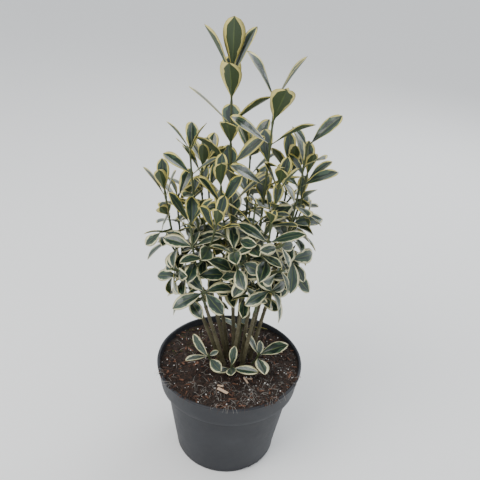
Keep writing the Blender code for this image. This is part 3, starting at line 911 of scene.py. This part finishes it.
class Twig:
    """A leafy stem: its line, its first leafy point, and how its leaves are set."""

    def __init__(self, name, curve, start, radius, leaf, bearing, opening, gap):
        self.name = name
        self.curve = curve
        self.start = start
        self.radius = radius
        self.leaf = leaf * MM
        self.bearing = bearing
        self.opening = opening
        self.gap = gap * MM
        self.nodes = []
        self.missed = []
        self.tube = tube(stations(curve, start, curve.length, TWIG_STEP, radius, TWIG_TIP_RADIUS), 3)

    def grow_leaves(self, space, chance):
        """Leaves in pairs from the top down. A leaf that finds no room is left out."""
        leaves = []
        down = TOP_BUD
        node = 0
        while down < self.curve.length - self.start - BARE_FOOT:
            self.nodes.append(self.curve.length - down)
            for half in (0, 180):
                leaf = self.grow_leaf(space, chance, node, down, half)
                if leaf:
                    leaves.append(leaf)
                else:
                    self.missed.append((node, down, half))
            height = self.curve.at(self.curve.length - down)[0].z
            gap = self.gap if node == 0 else NODE_GAP * MM
            down += min(gap, gap + (LOW_NODE_GAP - gap) * dome_share(height))
            node += 1
        return leaves

    def grow_leaf(self, space, chance, node, down, half, share=1.0):
        along = self.curve.length - down
        low = 0 if self.name.startswith("sprig") else dome_share(self.curve.at(along)[0].z)
        size = self.leaf * NODE_SHARES[min(node, len(NODE_SHARES) - 1)] * share
        size *= 1 - (1 - DOME_LEAF) * low * (self.leaf > WHORL_LEAF * MM)
        opening = self.opening + min(34, 11 * node)
        opening += max(0, DOME_OPENING - opening) * low
        for attempt in range(LEAF_TRIES):
            sway = 5 + 7 * attempt
            bearing = self.bearing + half + 90 * node + chance.uniform(-sway, sway)
            lean = opening + chance.uniform(-sway, sway) * 0.7
            pose = leaf_pose(
                self.curve,
                along,
                math.radians(bearing),
                math.radians(max(5, lean)),
                size * chance.uniform(0.88, 1.08) * (1 - 0.05 * attempt),
                size * chance.uniform(0.92, 1.08) * (LEAF_WIDTH + (LOW_LEAF_WIDTH - LEAF_WIDTH) * low),
                chance.uniform(*LEAF_KEEL),
                math.radians(chance.uniform(-LEAF_ROLL, LEAF_ROLL)),
                math.radians(chance.uniform(2, 9) + DOME_DROOP * low * chance.uniform(0.4, 1)),
            )
            if leaf_fits(space, self.name, pose):
                for part, first in (("root", 0), ("blade", 1)):
                    body = bmesh.new()
                    leaf_blade(body, pose, 0, first)
                    space.add(self.name, part, body)
                    body.free()
                return pose
        return None


def whorl_twigs(space, name, curve, chance, heights, girth, leaf):
    """The short side twigs by which a stem fills its part of the dome."""
    grown = []
    for count, height in enumerate(heights):
        place, way = curve.at(curve.along_at_height(height * MM + chance.uniform(-4, 4) * MM))
        if place.z > curve.points[-1].z - 26 * MM:
            break
        outward = math.degrees(math.atan2(place.y - CLUMP.y * 0.5, place.x - CLUMP.x * 0.5))
        bearing = math.radians(outward + chance.uniform(-WHORL_SPREAD, WHORL_SPREAD))
        rise = math.radians(chance.uniform(*WHORL_RISE))
        reach = chance.uniform(*WHORL_REACH) * MM
        level = Vector((math.cos(bearing), math.sin(bearing), 0))
        out = level * math.cos(rise) + Vector((0, 0, math.sin(rise)))
        top = place + out * reach
        line = Curve(place, level, top, (out + Vector((0, 0, 0.5))).normalized(), 0.3)
        size = leaf * chance.uniform(0.86, 1.08)
        turn = math.degrees(bearing) + chance.uniform(-30, 30)
        label = f"{name}/{count}" if girth == WHORL_ROOM else f"{name}/fine{count}"
        twig = Twig(label, line, 0, SIDE_RADIUS, size, turn, WHORL_OPENING, NEAR_GAP)
        swollen = tube(stations(line, 4 * MM, line.length + 4 * MM, 9 * MM, girth, girth), 5)
        if in_crown(top + out * 20 * MM) and not space.meets(swollen, lambda other, part: True):
            space.add(twig.name, "stem", twig.tube)
            grown.append(twig)
        swollen.free()
    return grown


def half_width(share, low):
    """Half the leaf's width here, as a share of the widest: wedge at the base, round at the tip."""
    rise, fall = (1.0, 0.72) if low else (1.25, 0.62)
    u = max(0, (share - PETIOLE * 0.9) / (1 - PETIOLE * 0.9))
    peak = rise / (rise + fall)
    full = peak**rise * (1 - peak) ** fall
    return max(0.085 * (share < 0.9), u**rise * (1 - u) ** fall / full)


def fine_leaf(bm, pose, low, tone, chance):
    """A leaf with a wedge base, a green middle, grey-green splashes and an irregular pale edge."""
    root, way, up, length, width, keel, curl = pose
    side = way.cross(up)
    seed = chance.uniform(0, 500)
    thick = max(BLADE_LEAST, BLADE_THICKNESS * length)
    wave = chance.uniform(*EDGE_WAVE) * length
    hook = chance.uniform(*TIP_HOOK) * length
    pale = chance.uniform(*PALE_EDGE_START)
    grids = []
    for face in (1, -1):
        grid = []
        for row in range(FINE_ROWS + 1):
            share = 1 - (1 - row / FINE_ROWS) ** 1.15
            half = half_width(share, low) * width / 2 * (share < 1)
            bend = curl * share
            ahead = way * math.cos(bend) - up * math.sin(bend)
            above = up * math.cos(bend) + way * math.sin(bend)
            line = []
            for hand in (-1, 1):
                jag = 0.2 * noise.noise(Vector((share * 3.2, hand * 5, seed)))
                jag += 0.16 * noise.noise(Vector((share * 11, hand * 7, seed)))
                edge = (pale + jag) * (1 - max(0, (share - 0.72) / 0.28) ** 2 * 0.75)
                edge = min(PALE_EDGE_LIMITS[1], max(PALE_EDGE_LIMITS[0], edge))
                blot = noise.noise(Vector((share * 7, hand * 3, seed + 9)))
                core = edge * min(CORE_LIMITS[1], max(CORE_LIMITS[0], 0.62 + 0.6 * blot))
                line.append((edge, core))
            columns = [-1, -line[0][0], -line[0][1], -line[0][1] * 0.12, 0]
            columns += [line[1][1] * 0.12, line[1][1], line[1][0], 1]
            made = []
            for column in columns:
                c = abs(column)
                rise = keel * half * c**1.3 - hook * max(0, share - TIP_HOOK_START) ** 2
                rise += wave * 0.5 * c * c * noise.noise(Vector((share * 4, column * 1.5, seed + 30)))
                rise += thick / 2 * (1 - c**3) * face
                if c < RIB_SHARE:
                    depth = RIB if face == -1 else GROOVE * (share > PETIOLE)
                    rise -= depth * (1 - share)
                sheet_edge = c == 1 or row == FINE_ROWS
                if sheet_edge and face == -1:
                    made.append(grids[0][row][len(made)])
                    continue
                place = root + ahead * (length * share) + side * (half * column) + above * rise
                made.append(bm.verts.new(place))
            grid.append(made)
        grids.append(grid)
        for row in range(FINE_ROWS):
            for i in range(8):
                a, b = grid[row][i], grid[row][i + 1]
                c, d = grid[row + 1][i + 1], grid[row + 1][i]
                corners = (a, b, c, d) if face == 1 else (a, d, c, b)
                quad = bm.faces.new(corners)
                quad.smooth = True
                if row == 0 or i in (3, 4):
                    quad.material_index = MIDRIB
                elif i in (0, 7):
                    top_edge = CREAM_EDGE if low else YELLOW_EDGE
                    quad.material_index = top_edge if face == 1 else UNDERSIDE_EDGE
                elif i in (1, 6):
                    quad.material_index = SPLASH if face == 1 else UNDERSIDE
                else:
                    quad.material_index = tone if face == 1 else UNDERSIDE
    foot = [grids[0][0][i] for i in range(9)] + [grids[1][0][i] for i in range(7, 0, -1)]
    bm.faces.new(foot[::-1]).material_index = MIDRIB


def leaf_finish(name, colour, roughness, coat=0.0):
    """One tone of a leaf, with its fine relief."""
    made = Finish(name, colour, roughness, Coat_Weight=coat)
    made.bump(made.noise(1.1 * MM, 3) + made.noise(4 * MM, 2), 0.22 * MM, 0.6)
    return made.made


leaf_surfaces = [
    leaf_finish("leaf_dark_green", (0.007, 0.019, 0.014), 0.3, 0.25),
    leaf_finish("leaf_blue_green", (0.012, 0.03, 0.023), 0.32, 0.25),
    leaf_finish("leaf_splash", (0.04, 0.075, 0.042), 0.34, 0.2),
    leaf_finish("leaf_yellow_edge", (0.66, 0.57, 0.15), 0.4, 0.15),
    leaf_finish("leaf_cream_edge", (0.68, 0.64, 0.38), 0.4, 0.15),
    leaf_finish("leaf_underside", (0.034, 0.056, 0.02), 0.5),
    leaf_finish("leaf_underside_edge", (0.6, 0.52, 0.17), 0.5),
    leaf_finish("leaf_midrib", (0.07, 0.1, 0.03), 0.45),
]
twig_finish = Finish("green_twig", (0.055, 0.07, 0.024), 0.6)
twig_finish.bump(twig_finish.noise(1.2 * MM, 4, 0.6), 0.2 * MM)

space = Space()
for name in ("pot", "compost"):
    bm = bmesh.new()
    bm.from_mesh(frame["nodes"][name].data)
    space.add(name, "body", bm)
    bm.free()
chance = random.Random(SEED)
masses = {}
for name, (foot, top, *leafing) in STEMS.items():
    rings, end = cane_rings(curves[name], TWIG_STEP)
    body = tube(rings, 6)
    space.add("cane/" + name, "stem", body)
    body.free()
    masses[name] = [Twig(name, curves[name], end + GAP, TWIG_RADIUS, *leafing)]
    space.add(name, "stem", masses[name][0].tube)
for count, (parent, height, top, *leafing) in enumerate(SIDE_SHOOTS):
    curve = curves[parent]
    place, way = curve.at(curve.along_at_height(height * MM))
    top = Vector(top) * MM
    out = top - place
    out = (out - way * out.dot(way)).normalized()
    line = Curve(place, (out + way).normalized(), top, upward(out * 0.2), 0.35)
    twig = Twig(f"{parent}+{count}", line, 0, SIDE_RADIUS, *leafing)
    masses[parent].append(twig)
    space.add(twig.name, "stem", twig.tube)
for name, curve in curves.items():
    masses[name] += whorl_twigs(space, name, curve, chance, WHORL_HEIGHTS, WHORL_ROOM, WHORL_LEAF)
for name, (foot, top, *leafing) in SPRIGS.items():
    name = "sprig_" + name
    masses[name] = [Twig(name, stem_curve(foot, top), SIDE_RADIUS, SIDE_RADIUS, *leafing)]
    space.add(name, "stem", masses[name][0].tube)
poses = {name: [] for name in masses}
for name, twigs in masses.items():
    for twig in twigs:
        poses[name] += twig.grow_leaves(space, chance)
for name, twigs in masses.items():
    for twig in twigs:
        for node, down, half in twig.missed:
            for share in SECOND_TRIES:
                leaf = twig.grow_leaf(space, chance, node, down, half, share)
                if leaf:
                    poses[name].append(leaf)
                    break
for name, curve in curves.items():
    finer = whorl_twigs(space, name, curve, chance, FINE_WHORL_HEIGHTS, FINE_WHORL_ROOM, FINE_WHORL_LEAF)
    for twig in finer:
        masses[name].append(twig)
        poses[name] += twig.grow_leaves(space, chance)

for name, found in poses.items():
    node = name if name.startswith("sprig_") else "foliage_" + name
    leaf_bm = bmesh.new()
    tone = chance.choice((DARK_GREEN, BLUE_GREEN))
    for pose in found:
        low = pose[0].z < DOME_TOP - 10 * MM
        fine_leaf(leaf_bm, pose, low, tone if chance.random() < 0.7 else 1 - tone, chance)
    leaves = piece_of("leaves_" + name, leaf_bm, leaf_surfaces, smooth=False)
    wood_bm = bmesh.new()
    for twig in masses[name]:
        start = twig.start - (GAP + 1.5 * MM) * (twig.start > 20 * MM)
        rings = []
        line = stations(twig.curve, start, twig.curve.length, 2 * MM, twig.radius, TWIG_TIP_RADIUS)
        for place, way, radius in line:
            near = min(((twig.curve.at(at)[0] - place).length for at in twig.nodes), default=1)
            swelling = NODE_SWELLING * max(0, 1 - near / NODE_SWELLING_LENGTH)
            rings.append((place, way, radius * 0.86 + swelling))
        last, way, radius = rings[-1]
        rings.append((last + way * 1.5 * MM, way, radius * 0.8))
        rings.append((last + way * 4.5 * MM, way, radius * 0.25))
        shoot = roughened(tube(rings, TWIG_SIDES), 0.15 * MM, 1.2 * MM)
        mesh = bpy.data.meshes.new("shoot")
        shoot.to_mesh(mesh)
        shoot.free()
        wood_bm.from_mesh(mesh)
        bpy.data.meshes.remove(mesh)
    twigs = piece_of("twigs_" + name, wood_bm, [twig_finish.made])
    for piece, slot in ((leaves, "foliage"), (twigs, "bark")):
        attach(piece, "root")
        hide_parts(node)
